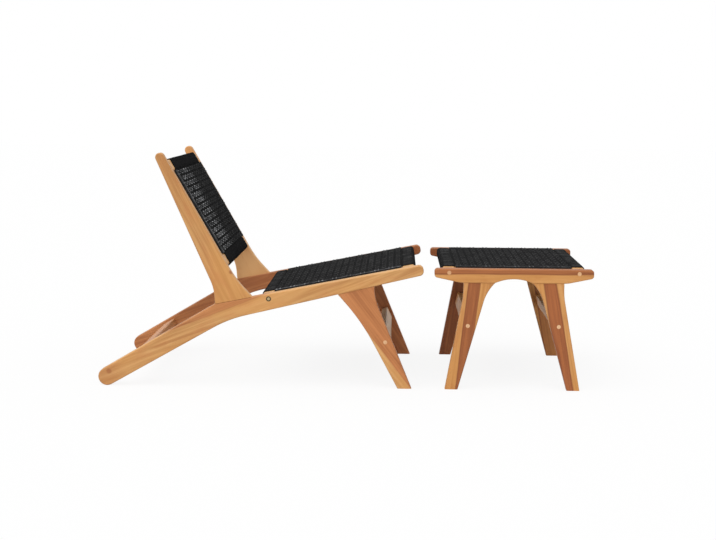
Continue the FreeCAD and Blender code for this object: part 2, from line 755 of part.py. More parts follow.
stool_leg_low = middle(stool_foot_out, stool_foot_in)
stool_leg_high = middle(stool_bend_out, stool_bend_in)
stool_spot = on_line(stool_leg_low, stool_leg_high, "stool_stretcher_z", "stool_stretcher_shift")
plug, screw, stretcher_drill = plugged_screw("stool_stretcher", stool_spot, LEG_FACE)
add_fasteners("stool_stretcher_plugs", [plug, fore_and_aft(plug, "stool_stretcher_plug_front")])
add_fasteners("stool_stretcher_screws", [screw, fore_and_aft(screw, "stool_stretcher_screw_front")])

stool_leg_blank = board("stool_right_rear_leg", stool_leg_turns, "leg_t", LEG_FACE)
rear_leg = drilled("stool_right_rear_leg", stool_leg_blank, stool_leg_drills + [stretcher_drill])
add_pair("stool_{}_rear_leg", rear_leg)
add_pair("stool_{}_front_leg", fore_and_aft(rear_leg, "stool_right_front_leg"))

stretcher_blank = cross_bar("stool_rear_stretcher", "0", "0", "stretcher_t", "stretcher_w", "stretcher_r",
                            INSIDE_LEGS, stool_spot, lean(stool_leg_low, stool_leg_high))
stretcher = drilled("stool_rear_stretcher", stretcher_blank, on_both_sides([stretcher_drill]))
add_node("stool_rear_stretcher", stretcher)
add_node("stool_front_stretcher", fore_and_aft(stretcher, "stool_front_stretcher"))

rail_spot = stool_place("-stool_span / 2", "(stool_h - cross_drop)")
plug, screw, rail_drill = plugged_screw("stool_rail", rail_spot, HALF)
front_rail_drill = fore_and_aft(rail_drill, "stool_rail_drill_front")
add_fasteners("stool_rail_plugs", [plug, fore_and_aft(plug, "stool_rail_plug_front")])
add_fasteners("stool_rail_screws", [screw, fore_and_aft(screw, "stool_rail_screw_front")])

stool_tip_z = "(stool_h - stool_tip)"
stool_rail_turns = [
    Turn(stool_place("-stool_len / 2", stool_tip_z), "stool_tip_r"),
    Turn(stool_place("(stool_taper - stool_len / 2)", STOOL_UNDER), "stool_taper_r"),
    Turn(stool_top_out, mates=True),
    Turn(stool_top_in),
    Turn(stool_place("0", f"({STOOL_UNDER} + arch_rise)"), "arch_r"),
    Turn(stool_place("(stool_leg_out - stool_leg_top)", STOOL_UNDER), mates=True),
    Turn(stool_place("stool_leg_out", STOOL_UNDER)),
    Turn(stool_place("(stool_len / 2 - stool_taper)", STOOL_UNDER), "stool_taper_r"),
    Turn(stool_place("stool_len / 2", stool_tip_z), "stool_tip_r"),
    Turn(stool_place("stool_len / 2", "stool_h"), "stool_tip_r"),
    Turn(stool_place("-stool_len / 2", "stool_h"), "stool_tip_r"),
]
stool_rail_blank = board("stool_right_rail", stool_rail_turns, "stool_rail_t", HALF)
front_leg_drills = [fore_and_aft(drill, f"{drill.Name}_front") for drill in stool_leg_drills]
stool_rail_holes = stool_leg_drills + front_leg_drills + [rail_drill, front_rail_drill]
add_pair("stool_{}_rail", drilled("stool_right_rail", stool_rail_blank, stool_rail_holes))

stool_end_drills = {"rear": on_both_sides([rail_drill]), "front": on_both_sides([front_rail_drill])}
woven_panel("stool", ("rear", "front"), STOOL, "0", "stool_span", INSIDE_STOOL, stool_end_drills)


def check_and_write():
    """Checks every object of the document, then writes one file per sub-part."""
    doc.recompute()
    failed = [item.Name for item in doc.Objects if "Invalid" in item.State or "Error" in item.State]
    if failed:
        raise RuntimeError(f"not built: {failed}")
    for name, item in nodes.items():
        if item.Shape.isNull() or not item.Shape.isValid() or not item.Shape.Solids:
            raise RuntimeError(f"{name} has no valid shape")
    os.makedirs("parts", exist_ok=True)
    for name, item in nodes.items():
        item.Shape.exportStep(f"parts/{name}.step")
        print(f"{name}: {len(item.Shape.Solids)} solid(s), {item.Shape.Volume:.0f} mm3")


check_and_write()
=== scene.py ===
"""Looks of the outdoor chaise longue: oiled teak, woven black cord and aged bolts.

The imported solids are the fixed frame. Three cord panels replace the plain woven sheets, and every
other solid keeps its shape and gets a finish of its own. Lengths are in metres.
"""
import logging
import math
from dataclasses import dataclass, field
from enum import Enum
from typing import Iterable, Optional, Sequence, Union

import bpy
from mathutils import Euler, Matrix, Vector


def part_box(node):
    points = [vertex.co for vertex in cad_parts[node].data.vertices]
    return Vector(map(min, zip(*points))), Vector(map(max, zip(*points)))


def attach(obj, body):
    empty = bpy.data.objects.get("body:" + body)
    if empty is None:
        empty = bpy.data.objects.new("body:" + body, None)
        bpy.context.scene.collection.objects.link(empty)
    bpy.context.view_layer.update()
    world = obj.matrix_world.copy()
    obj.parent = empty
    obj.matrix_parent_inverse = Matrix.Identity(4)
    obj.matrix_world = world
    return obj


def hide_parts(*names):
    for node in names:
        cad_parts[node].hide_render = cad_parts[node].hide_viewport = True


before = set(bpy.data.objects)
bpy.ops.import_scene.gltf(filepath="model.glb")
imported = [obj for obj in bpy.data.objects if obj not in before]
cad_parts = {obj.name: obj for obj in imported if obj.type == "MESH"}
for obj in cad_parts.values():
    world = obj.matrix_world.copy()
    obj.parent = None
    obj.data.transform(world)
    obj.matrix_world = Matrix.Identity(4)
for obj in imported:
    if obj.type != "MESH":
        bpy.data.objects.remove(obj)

log = logging.getLogger("chaise_longue")

PHOTO_WIDTH = 716
SENSOR_WIDTH = 36.0
FULL_TURN = 2 * math.pi
MIDDLE = 0.5  # the mean of a noise pattern
WHITE = (1.0, 1.0, 1.0, 1.0)

Colour = tuple[float, float, float]
Pair = tuple[float, float]


class Body(Enum):
    """The rigid bodies of the set."""

    CHAIR = "chair"
    FOOTSTOOL = "footstool"


class Slot(Enum):
    """A material slot of the record, for the cord; nothing here uses it."""

    CORD = "cord"


class Run(Enum):
    """The way a piece's grain runs: in the side view, or across the set."""

    SIDE = "side"
    ACROSS = "across"


class Signal:
    """One output of a shader node. Arithmetic on it adds Math nodes."""

    def __init__(self, tree: "ShaderTree", socket: bpy.types.NodeSocket) -> None:
        """Keeps the tree and the socket."""
        self.tree = tree
        self.socket = socket

    def __add__(self, other: "Number") -> "Signal":
        """Signal plus value."""
        return self.tree.math("ADD", self, other)

    def __sub__(self, other: "Number") -> "Signal":
        """Signal minus value."""
        return self.tree.math("SUBTRACT", self, other)

    def __rsub__(self, other: "Number") -> "Signal":
        """Value minus signal."""
        return self.tree.math("SUBTRACT", other, self)

    def __mul__(self, other: "Number") -> "Signal":
        """Signal times value."""
        return self.tree.math("MULTIPLY", self, other)

    def __pow__(self, other: "Number") -> "Signal":
        """Signal to a power."""
        return self.tree.math("POWER", self, other)

    __radd__ = __add__
    __rmul__ = __mul__


Number = Union[Signal, float]
SocketValue = Union[Signal, float, Sequence[float]]


@dataclass(frozen=True)
class Pattern:
    """A noise pattern.

    Attributes:
        scale: cells per metre.
        detail: octaves.
        seed: which of many such patterns.
        along: scale along X over the scale across it, below 1 for a pattern drawn out along X.
        roughness: strength of the finer octaves.
    """

    scale: float
    detail: float
    seed: float
    along: float = 1.0
    roughness: float = 0.6


class ShaderTree:
    """The node tree of a material or a world, written node by node."""

    def __init__(self, owner: Union[bpy.types.Material, bpy.types.World]) -> None:
        """Empties the owner's node tree.

        Args:
            owner: the material or world that is written.
        """
        owner.use_nodes = True
        self.nodes = owner.node_tree.nodes
        self.links = owner.node_tree.links
        self.nodes.clear()

    def node(self, kind: str, settings: Optional[dict] = None,
             sockets: Optional[dict[Union[str, int], SocketValue]] = None,
             output: Union[str, int] = 0) -> Signal:
        """Adds a node.

        Args:
            kind: the node's type.
            settings: its settings, and "stops" as (position, colour) pairs for a ramp.
            sockets: values or signals of its inputs, by name or number.
            output: the output that is wanted.

        Returns:
            That output as a signal.
        """
        item = self.nodes.new(kind)
        for key, setting in (settings or {}).items():
            if key == "stops":
                self._set_stops(item.color_ramp, setting)
            else:
                setattr(item, key, setting)
        for key, given in (sockets or {}).items():
            if isinstance(given, Signal):
                self.links.new(given.socket, item.inputs[key])
            else:
                item.inputs[key].default_value = given
        return Signal(self, item.outputs[output] if item.outputs else None)

    @staticmethod
    def _set_stops(ramp: bpy.types.ColorRamp, stops: Sequence[tuple[float, Colour]]) -> None:
        """Sets a ramp's stops.

        Args:
            ramp: the ramp, which has two stops of its own.
            stops: (position, colour) pairs.
        """
        while len(ramp.elements) < len(stops):
            ramp.elements.new(1.0)
        for element, (position, colour) in zip(ramp.elements, stops):
            element.position = position
            element.color = (*colour, 1.0)

    def math(self, operation: str, *terms: Number) -> Signal:
        """Adds a Math node on the terms."""
        return self.node("ShaderNodeMath", {"operation": operation}, dict(enumerate(terms)))

    def stretch(self, vector: Signal, factors: Sequence[float]) -> Signal:
        """Multiplies a vector part by part."""
        return self.node("ShaderNodeVectorMath", {"operation": "MULTIPLY"}, {0: vector, 1: tuple(factors)})

    def split(self, vector: Signal) -> tuple[Signal, Signal, Signal]:
        """Takes a vector apart.

        Args:
            vector: the vector.

        Returns:
            Its three parts.
        """
        first = self.node("ShaderNodeSeparateXYZ", sockets={0: vector})
        outputs = first.socket.node.outputs
        return first, Signal(self, outputs[1]), Signal(self, outputs[2])

    def noise(self, vector: Signal, pattern: Pattern, board: float = 0.0) -> Signal:
        """Adds a noise pattern.

        Args:
            vector: where it is read.
            pattern: the pattern.
            board: which of many boards it is read on.

        Returns:
            A value around one half.
        """
        if pattern.along != 1.0:
            vector = self.stretch(vector, (pattern.along, 1.0, 1.0))
        return self.node("ShaderNodeTexNoise", {"noise_dimensions": "4D"},
                         {"Vector": vector, "W": board + pattern.seed, "Scale": pattern.scale,
                          "Detail": pattern.detail, "Roughness": pattern.roughness})

    def step(self, signal: Signal, low: float, high: float) -> Signal:
        """Rises smoothly from 0 at low to 1 at high."""
        return self.node("ShaderNodeMapRange", {"interpolation_type": "SMOOTHSTEP"},
                         {"Value": signal, "From Min": low, "From Max": high})

    def blend(self, factor: Number, first: SocketValue, second: SocketValue) -> Signal:
        """Mixes two colours.

        Args:
            factor: the second colour's share.
            first: a colour.
            second: a colour.

        Returns:
            The mixed colour.
        """
        pair = [given if isinstance(given, Signal) else (*given, 1.0) for given in (first, second)]
        return self.node("ShaderNodeMix", {"data_type": "RGBA"},
                         {0: factor, 6: pair[0], 7: pair[1]}, output=2)

    def bump(self, height: Signal, depth: float) -> Signal:
        """Turns a height pattern into a normal."""
        return self.node("ShaderNodeBump", sockets={"Height": height, "Distance": depth, "Strength": 1.0})

    def finish(self, sockets: dict[str, SocketValue]) -> None:
        """Adds the principled surface and the output."""
        surface = self.node("ShaderNodeBsdfPrincipled", sockets=sockets)
        self.node("ShaderNodeOutputMaterial", sockets={"Surface": surface})


@dataclass(frozen=True)
class Stave:
    """A strip of heartwood in a board, between two heights over the board's grain line."""

    low: float
    high: float
    amount: float = 1.0


@dataclass(frozen=True)
class Knot:
    """A dark knot or stain that shows at (x, z) on a piece's right-hand face."""

    x: float
    z: float
    radius: float
    amount: float = 0.85


@dataclass(frozen=True)
class Cut:
    """How a piece is cut from its board.

    anchor is a point (x, z) on the grain line, tilt its slope in the side view in degrees. tone darkens the
    piece and lightens it below 0, red is its share of heartwood and board another board of the same kind.
    On some far-side pieces and on the chair's two stretchers, tone and red also carry painted shade or
    painted light.
    """

    tilt: float = 0.0
    anchor: Optional[Pair] = None
    run: Run = Run.SIDE
    tone: float = 0.0
    red: float = 0.0
    board: float = 0.0
    staves: tuple[Stave, ...] = ()
    knots: tuple[Knot, ...] = ()


@dataclass(frozen=True)
class Timber:
    """Oiled teak: pale sapwood with darker streaks, and redder heartwood staves.

    Attributes:
        pale, plain, dark, amber: the sapwood's colours.
        heart_plain, heart_dark: the heartwood's colours.
        line_amount: darkness of the line along a stave.
        drift, streak, fibre: patterns of the grain, from broad to fine.
        hue, blush: where the sapwood is amber, and where it is reddish.
        figure_pitch, figure_lean, figure_drift: distance of the growth rings, and how they slant and bend.
        plain_tone: tone of a piece that its cut neither darkens nor lightens.
        seam_width, seam_streak, seam_drift: how sharp and how uneven a stave's edge is.
        knot_core: the fully dark part of a knot's radius.

    A range gives the two values of a pattern between which an effect goes from none to all, an amount the
    effect's share, and a weight or relief a pattern's part in the tone or the surface.
    """

    pale: Colour
    plain: Colour
    dark: Colour
    amber: Colour
    heart_plain: Colour
    heart_dark: Colour
    line_amount: float = 0.25
    roughness: float = 0.5
    streak_roughness: float = 0.3
    pore_roughness: float = 0.2
    gloss: float = 0.28
    grain_depth: float = 0.00025
    streak_relief: float = 0.5
    fibre_relief: float = 0.5

    drift: Pattern = Pattern(14.0, 3.0, 0.0, along=0.18)
    streak: Pattern = Pattern(150.0, 5.0, 3.0, along=0.03)
    fibre: Pattern = Pattern(900.0, 3.0, 7.0, along=0.02)
    hue: Pattern = Pattern(9.0, 2.0, 17.0, along=0.3)
    blush: Pattern = Pattern(45.0, 3.0, 23.0, along=0.35)
    figure_pitch: float = 0.019
    figure_lean: float = 0.4
    figure_drift: float = 0.09

    drift_weight: float = 1.1
    streak_weight: float = 1.3
    figure_weight: float = 0.05
    fibre_weight: float = 0.35
    plain_tone: float = 0.5
    sap_stops: tuple[float, float, float] = (0.2, 0.5, 0.8)
    heart_range: Pair = (0.15, 0.85)
    amber_range: Pair = (0.42, 0.62)
    amber_amount: float = 0.5
    blush_range: Pair = (0.45, 0.7)
    blush_amount: float = 0.3
    # painted light: over this range of a face's upward lean, the wood is painted paler, as light from above
    # shows it
    lit_top_range: Pair = (0.2, 0.8)
    lit_top_amount: float = 0.5
    pore_range: Pair = (0.36, 0.27)
    pore_amount: float = 0.4

    seam_width: float = 0.0012
    seam_streak: float = 0.006
    seam_drift: float = 0.014
    line_width: float = 0.0038
    knot_core: float = 0.3

    def material(self, name: str, cut: Cut, box: tuple[Vector, Vector], seed: float) -> bpy.types.Material:
        """Writes the material of one piece.

        Args:
            name: the piece's name.
            cut: how its grain lies.
            box: the piece's box.
            seed: which of many such boards.

        Returns:
            The material.
        """
        made = bpy.data.materials.new(f"{name}_teak")
        tree = ShaderTree(made)
        place = tree.node("ShaderNodeTexCoord", output="Object")
        low, high = box
        spot = self._board_coordinates(tree, place, cut, (low + high) / 2)
        _, depth, height = tree.split(spot)

        drift, streak, fibre, hue, blush = (
            tree.noise(spot, pattern, seed)
            for pattern in (self.drift, self.streak, self.fibre, self.hue, self.blush))
        bent = height + depth * self.figure_lean + drift * self.figure_drift
        figure = tree.math("SINE", bent * (FULL_TURN / self.figure_pitch))
        tone = ((drift - MIDDLE) * self.drift_weight + (streak - MIDDLE) * self.streak_weight
                + figure * self.figure_weight + (fibre - MIDDLE) * self.fibre_weight
                + (self.plain_tone - cut.tone))

        stops = tuple(zip(self.sap_stops, (self.dark, self.plain, self.pale)))
        sap = tree.node("ShaderNodeValToRGB", {"stops": stops}, {"Fac": tone})
        sap = tree.blend(tree.step(hue, *self.amber_range) * self.amber_amount, sap, self.amber)
        sap = tree.blend(tree.step(blush, *self.blush_range) * self.blush_amount, sap, self.heart_plain)
        heart = tree.blend(tree.step(tone, *self.heart_range), self.heart_dark, self.heart_plain)
        edge = height + (streak - MIDDLE) * self.seam_streak + (drift - MIDDLE) * self.seam_drift
        share = self._heart_share(tree, cut, edge)
        colour = tree.blend(share, sap, heart)
        # painted light: faces that look up are painted paler, as light from above shows them; heartwood
        # less so
        _, _, upward = tree.split(tree.node("ShaderNodeNewGeometry", output="Normal"))
        lit_top = tree.step(upward, *self.lit_top_range) * (1.0 - share) * self.lit_top_amount
        colour = tree.blend(lit_top, colour, self.pale)
        pores = tree.step(fibre, *self.pore_range) * self.pore_amount
        knots = self._knot_share(tree, cut, place, streak, low.y)
        dark = tree.math("MAXIMUM", knots, self._seam_share(tree, cut, edge))
        colour = tree.blend(tree.math("MAXIMUM", pores, dark), colour, self.heart_dark)

        roughness = (streak - MIDDLE) * self.streak_roughness + pores * self.pore_roughness + self.roughness
        normal = tree.bump(streak * self.streak_relief + fibre * self.fibre_relief, self.grain_depth)
        tree.finish({"Base Color": colour, "Roughness": roughness, "Normal": normal,
                     "Specular IOR Level": self.gloss})
        return made

    @staticmethod
    def _board_coordinates(tree: ShaderTree, place: Signal, cut: Cut, middle: Vector) -> Signal:
        """Object coordinates turned so that X follows the grain.

        Args:
            tree: the tree that is written.
            place: object coordinates.
            cut: how the grain lies.
            middle: the middle of the piece, on its grain line where the cut names no anchor.

        Returns:
            The turned coordinates.
        """
        if cut.run is Run.ACROSS:
            turn = Euler((0.0, 0.0, -math.pi / 2))
        else:
            turn = Euler((0.0, math.radians(cut.tilt), 0.0))
        anchor = Vector((cut.anchor[0], middle.y, cut.anchor[1])) if cut.anchor else middle
        shift = -(turn.to_matrix() @ anchor)
        return tree.node("ShaderNodeMapping", {"vector_type": "POINT"},
                         {"Vector": place, "Location": tuple(shift), "Rotation": tuple(turn)})

    def _heart_share(self, tree: ShaderTree, cut: Cut, height: Signal) -> Number:
        """How much of a point is heartwood.

        Args:
            tree: the tree that is written.
            cut: the piece's redness and staves.
            height: distance from the grain line.

        Returns:
            A share from 0 to 1.
        """
        share: Number = cut.red
        for stave in cut.staves:
            inside = tree.step(height, stave.low, stave.low + self.seam_width)
            inside = inside * tree.step(height, stave.high + self.seam_width, stave.high)
            share = inside * (stave.amount - cut.red) + share
        return share

    def _seam_share(self, tree: ShaderTree, cut: Cut, height: Signal) -> Number:
        """How much of a point is the dark line along a stave.

        Args:
            tree: the tree that is written.
            cut: the piece's staves.
            height: distance from the grain line.

        Returns:
            A share from 0 to 1.
        """
        share: Number = 0.0
        for stave in cut.staves:
            for side in (stave.low, stave.high):
                line = tree.step(tree.math("ABSOLUTE", height - side), self.line_width, 0.0)
                share = tree.math("MAXIMUM", share, line * self.line_amount)
        return share

    def _knot_share(self, tree: ShaderTree, cut: Cut, place: Signal, streak: Signal, face: float) -> Number:
        """How much of a point is knot.

        Args:
            tree: the tree that is written.
            cut: the piece's knots.
            place: object coordinates.
            streak: the streak pattern, which makes the knots uneven.
            face: where the right-hand face lies across the set.

        Returns:
            A share from 0 to 1.
        """
        share: Number = 0.0
        for knot in cut.knots:
            reach = tree.node("ShaderNodeVectorMath", {"operation": "DISTANCE"},
                              {0: place, 1: (knot.x, face, knot.z)}, output="Value")
            reach = reach + (streak - MIDDLE) * knot.radius
            stain = tree.step(reach, knot.radius, knot.radius * self.knot_core) * knot.amount
            share = tree.math("MAXIMUM", share, stain)
        return share


@dataclass(frozen=True)
class Metal:
    """Metal with a darker patina, and on a bolt head a dark ring round a brighter middle, which is painted
    shade for the gap round the head.
    """

    bright: Colour
    patina_and_shade: Colour
    roughness: float
    dull_roughness: float = 0.25
    patina: Pattern = Pattern(900.0, 4.0, 1.0)
    patina_range: Pair = (0.35, 0.7)
    patina_amount: float = 0.5
    pit_depth: float = 0.00005
    # the bolt head's dark ring is painted shade: how sharply it fades in and how dark it gets
    rim_shade_fade: float = 0.001
    rim_shade_amount: float = 0.92

    def material(self, name: str, axis: Optional[Pair] = None,
                 bright_radius: float = 0.0) -> bpy.types.Material:
        """Writes the material.

        Args:
            name: the piece's name.
            axis: (x, z) of a bolt's axis, for the painted shade round the head.
            bright_radius: radius of the bright middle, outside which the head is painted dark as the shade
                of its gap.

        Returns:
            The material.
        """
        made = bpy.data.materials.new(f"{name}_metal")
        tree = ShaderTree(made)
        place = tree.node("ShaderNodeTexCoord", output="Object")
        patina = tree.step(tree.noise(place, self.patina), *self.patina_range)
        share = patina * self.patina_amount
        if axis:
            x, _, z = tree.split(place)
            reach = ((x - axis[0]) ** 2.0 + (z - axis[1]) ** 2.0) ** 0.5
            # painted shade: the head darkens outside bright_radius, standing in for the shade of the gap
            # round it
            rim = tree.step(reach, bright_radius, bright_radius + self.rim_shade_fade)
            share = tree.math("MAXIMUM", share, rim * self.rim_shade_amount)
        colour = tree.blend(share, self.bright, self.patina_and_shade)
        tree.finish({"Base Color": colour, "Metallic": 1.0,
                     "Roughness": share * self.dull_roughness + self.roughness,
                     "Normal": tree.bump(patina, self.pit_depth)})
        return made


@dataclass(frozen=True)
class GlintBand:
    """The band across a panel where the crests of its cords get painted glints: pale painted highlights in
    their colour, with a real glossy coat.

    Attributes:
        near, far: where the band begins and ends across the panel.
        fade: half the width over which each end fades.
        amount: how strongly the glints are painted, and the weight of the coat.
        wraps: the share of the cord's paler tone that the wraps on the cross rails keep beside the weave;
            below 1 the wraps stay darker.
    """

    near: float
    far: float
    fade: float
    amount: float
    wraps: float = 1.0


@dataclass(frozen=True)
class CordFinish:
    """Black synthetic cord, laid from twisted strands, its crests paler from wear and painted sheen, matt
    but in a band of painted glints with a glossy coat.

    Attributes:
        black, worn, rubbed: colours of the cord, of its crests, paler from wear and from painted sheen, and
            of the painted glints on its crests.
        strands, lay_turns: strands of the cord, and their turns along one cord.
        polish_roughness, polish_index: roughness and refractive index of the glossy coat under the painted
            glints.
        fuzz, wear: patterns of the fine fibres and of the broad wear.
        wear_range, glint_range: values of wear between which the cord turns paler, and between which its
            crests may get painted glints.
        crest_depth: depth below the highest cords where a crest begins.
        bay_fade, flank_fade: lengths over which the weave's tone fades at the rails and at the battens.
        flank_wear_and_sheen: how much of the crests' paleness, from wear and painted sheen, the cord over
            the battens keeps beside the weave.
        relief_depth: depth of the lay and the fuzz, each times its relief.
    """

    black: Colour = (0.017, 0.017, 0.0175)
    worn_and_sheen: Colour = (0.125, 0.125, 0.125)
    glint_colour: Colour = (0.44, 0.455, 0.48)
    strands: int = 3
    lay_turns: float = 90.0
    roughness: float = 0.45
    fuzz_roughness: float = 0.3
    gloss: float = 0.0
    polish_roughness: float = 0.25
    polish_index: float = 1.8
    fuzz: Pattern = Pattern(1400.0, 3.0, 2.0)
    wear: Pattern = Pattern(45.0, 4.0, 5.0)
    wear_range: Pair = (0.4, 0.75)
    glint_range: Pair = (0.3, 0.6)
    wear_weight: float = 0.2
    fuzz_weight: float = 0.6
    lay_weight: float = 0.2
    crown_weight: float = 0.75
    crest_depth: float = 0.0011
    bay_fade: float = 0.004
    flank_fade: float = 0.019
    flank_wear_and_sheen: float = 0.3
    relief_depth: float = 0.0004
    lay_relief: float = 0.7
    fuzz_relief: float = 0.6

    def material(self, name: str, panel: Matrix, crest: float, bay: float, flank: float,
                 glints: GlintBand) -> bpy.types.Material:
        """Writes the material.

        Args:
            name: the panel's name.
            panel: the panel's frame, with Z out of the sitting side.
            crest: height of the highest cords in that frame.
            bay: half the length between the cross rails.
            flank: half the width between the battens.
            glints: where across the panel the crests get painted glints.

        Returns:
            The material.
        """
        made = bpy.data.materials.new(f"{name}_cord")
        tree = ShaderTree(made)
        along, around, _ = tree.split(tree.node("ShaderNodeUVMap", {"uv_map": "UVMap"}))
        lay = tree.math("SINE", (along * self.lay_turns + around) * (FULL_TURN * self.strands))
        place = tree.node("ShaderNodeTexCoord", output="Object")
        back = panel.inverted()
        spot = tree.node("ShaderNodeMapping", {"vector_type": "POINT"},
                         {"Vector": place, "Location": tuple(back.translation),
                          "Rotation": tuple(back.to_euler())})
        length, across, height = tree.split(spot)
        fuzz = tree.noise(place, self.fuzz)
        wear = tree.noise(place, self.wear)
        top = tree.step(height, crest - self.crest_depth, crest)
        inside = tree.step(tree.math("ABSOLUTE", length), bay, bay - self.bay_fade)

        # the black cord and its crests, paler from wear and from painted sheen, less pale over the battens
        # and, where the band says so, on the wraps
        inner = tree.step(tree.math("ABSOLUTE", across), flank, flank - self.flank_fade)
        crown = top * (inner * (1.0 - self.flank_wear_and_sheen) + self.flank_wear_and_sheen)
        # the wraps on the cross rails keep only the share given by the band's wraps value; on the back they
        # stay darker
        use = inside * (1.0 - glints.wraps) + glints.wraps
        share = (tree.step(wear, *self.wear_range) * self.wear_weight + (fuzz - MIDDLE) * self.fuzz_weight
                 + lay * self.lay_weight + crown * self.crown_weight) * use
        colour = tree.blend(share, self.black, self.worn_and_sheen)

        # the band of painted glints: painted highlights on the crests, pale in the colour, with a real
        # glossy coat
        near = tree.step(across, glints.near - glints.fade, glints.near + glints.fade)
        far = tree.step(across, glints.far + glints.fade, glints.far - glints.fade)
        pale = top * near * far * inside * tree.step(wear, *self.glint_range) * glints.amount
        colour = tree.blend(pale, colour, self.glint_colour)

        roughness = (fuzz - MIDDLE) * self.fuzz_roughness + self.roughness
        normal = tree.bump(lay * self.lay_relief + fuzz * self.fuzz_relief, self.relief_depth)
        tree.finish({"Base Color": colour, "Roughness": roughness, "Normal": normal,
                     "Specular IOR Level": self.gloss, "Coat Weight": pale,
                     "Coat Roughness": self.polish_roughness, "Coat IOR": self.polish_index})
        return made


def dress(node: str, material: bpy.types.Material) -> None:
    """Gives a solid its finish.

    Args:
        node: the solid's name.
        material: its finish.
    """
    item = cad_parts[node]
    if item.material_slots:
        item.material_slots[0].material = material
    else:
        item.data.materials.append(material)
    log.info("dressed %s in %s", node, material.name)


def middle_of(node: str) -> Vector:
    """The middle of a solid's box."""
    low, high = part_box(node)
    return (low + high) / 2


def select_only(item: bpy.types.Object) -> None:
    """Makes an object the only one that operators act on."""
    bpy.ops.object.select_all(action="DESELECT")
    item.select_set(True)
    bpy.context.view_layer.objects.active = item


@dataclass
class Bar:
    """The section of a bar that cord goes round: half width, half height and corner radius."""

    half_wide: float
    half_high: float
    corner: float

    def wrap(self, gap: float, steps: int) -> list[Pair]:
        """The line of a cord once round the bar, from the top and outwards.

        Args:
            gap: distance of the cord's middle from the bar.
            steps: straight pieces per corner.

        Returns:
            (outwards, up) pairs from the bar's middle.
        """
        wide = self.half_wide + gap
        high = self.half_high + gap
        radius = self.corner + gap
        signs = ((1, 1), (1, -1), (-1, -1), (-1, 1))
        line = []
        for number, (out, up) in enumerate(signs):
            for step in range(steps + 1):
                angle = (1 - number - step / steps) * math.pi / 2
                line.append((out * (wide - radius) + radius * math.cos(angle),
                             up * (high - radius) + radius * math.sin(angle)))
        return line


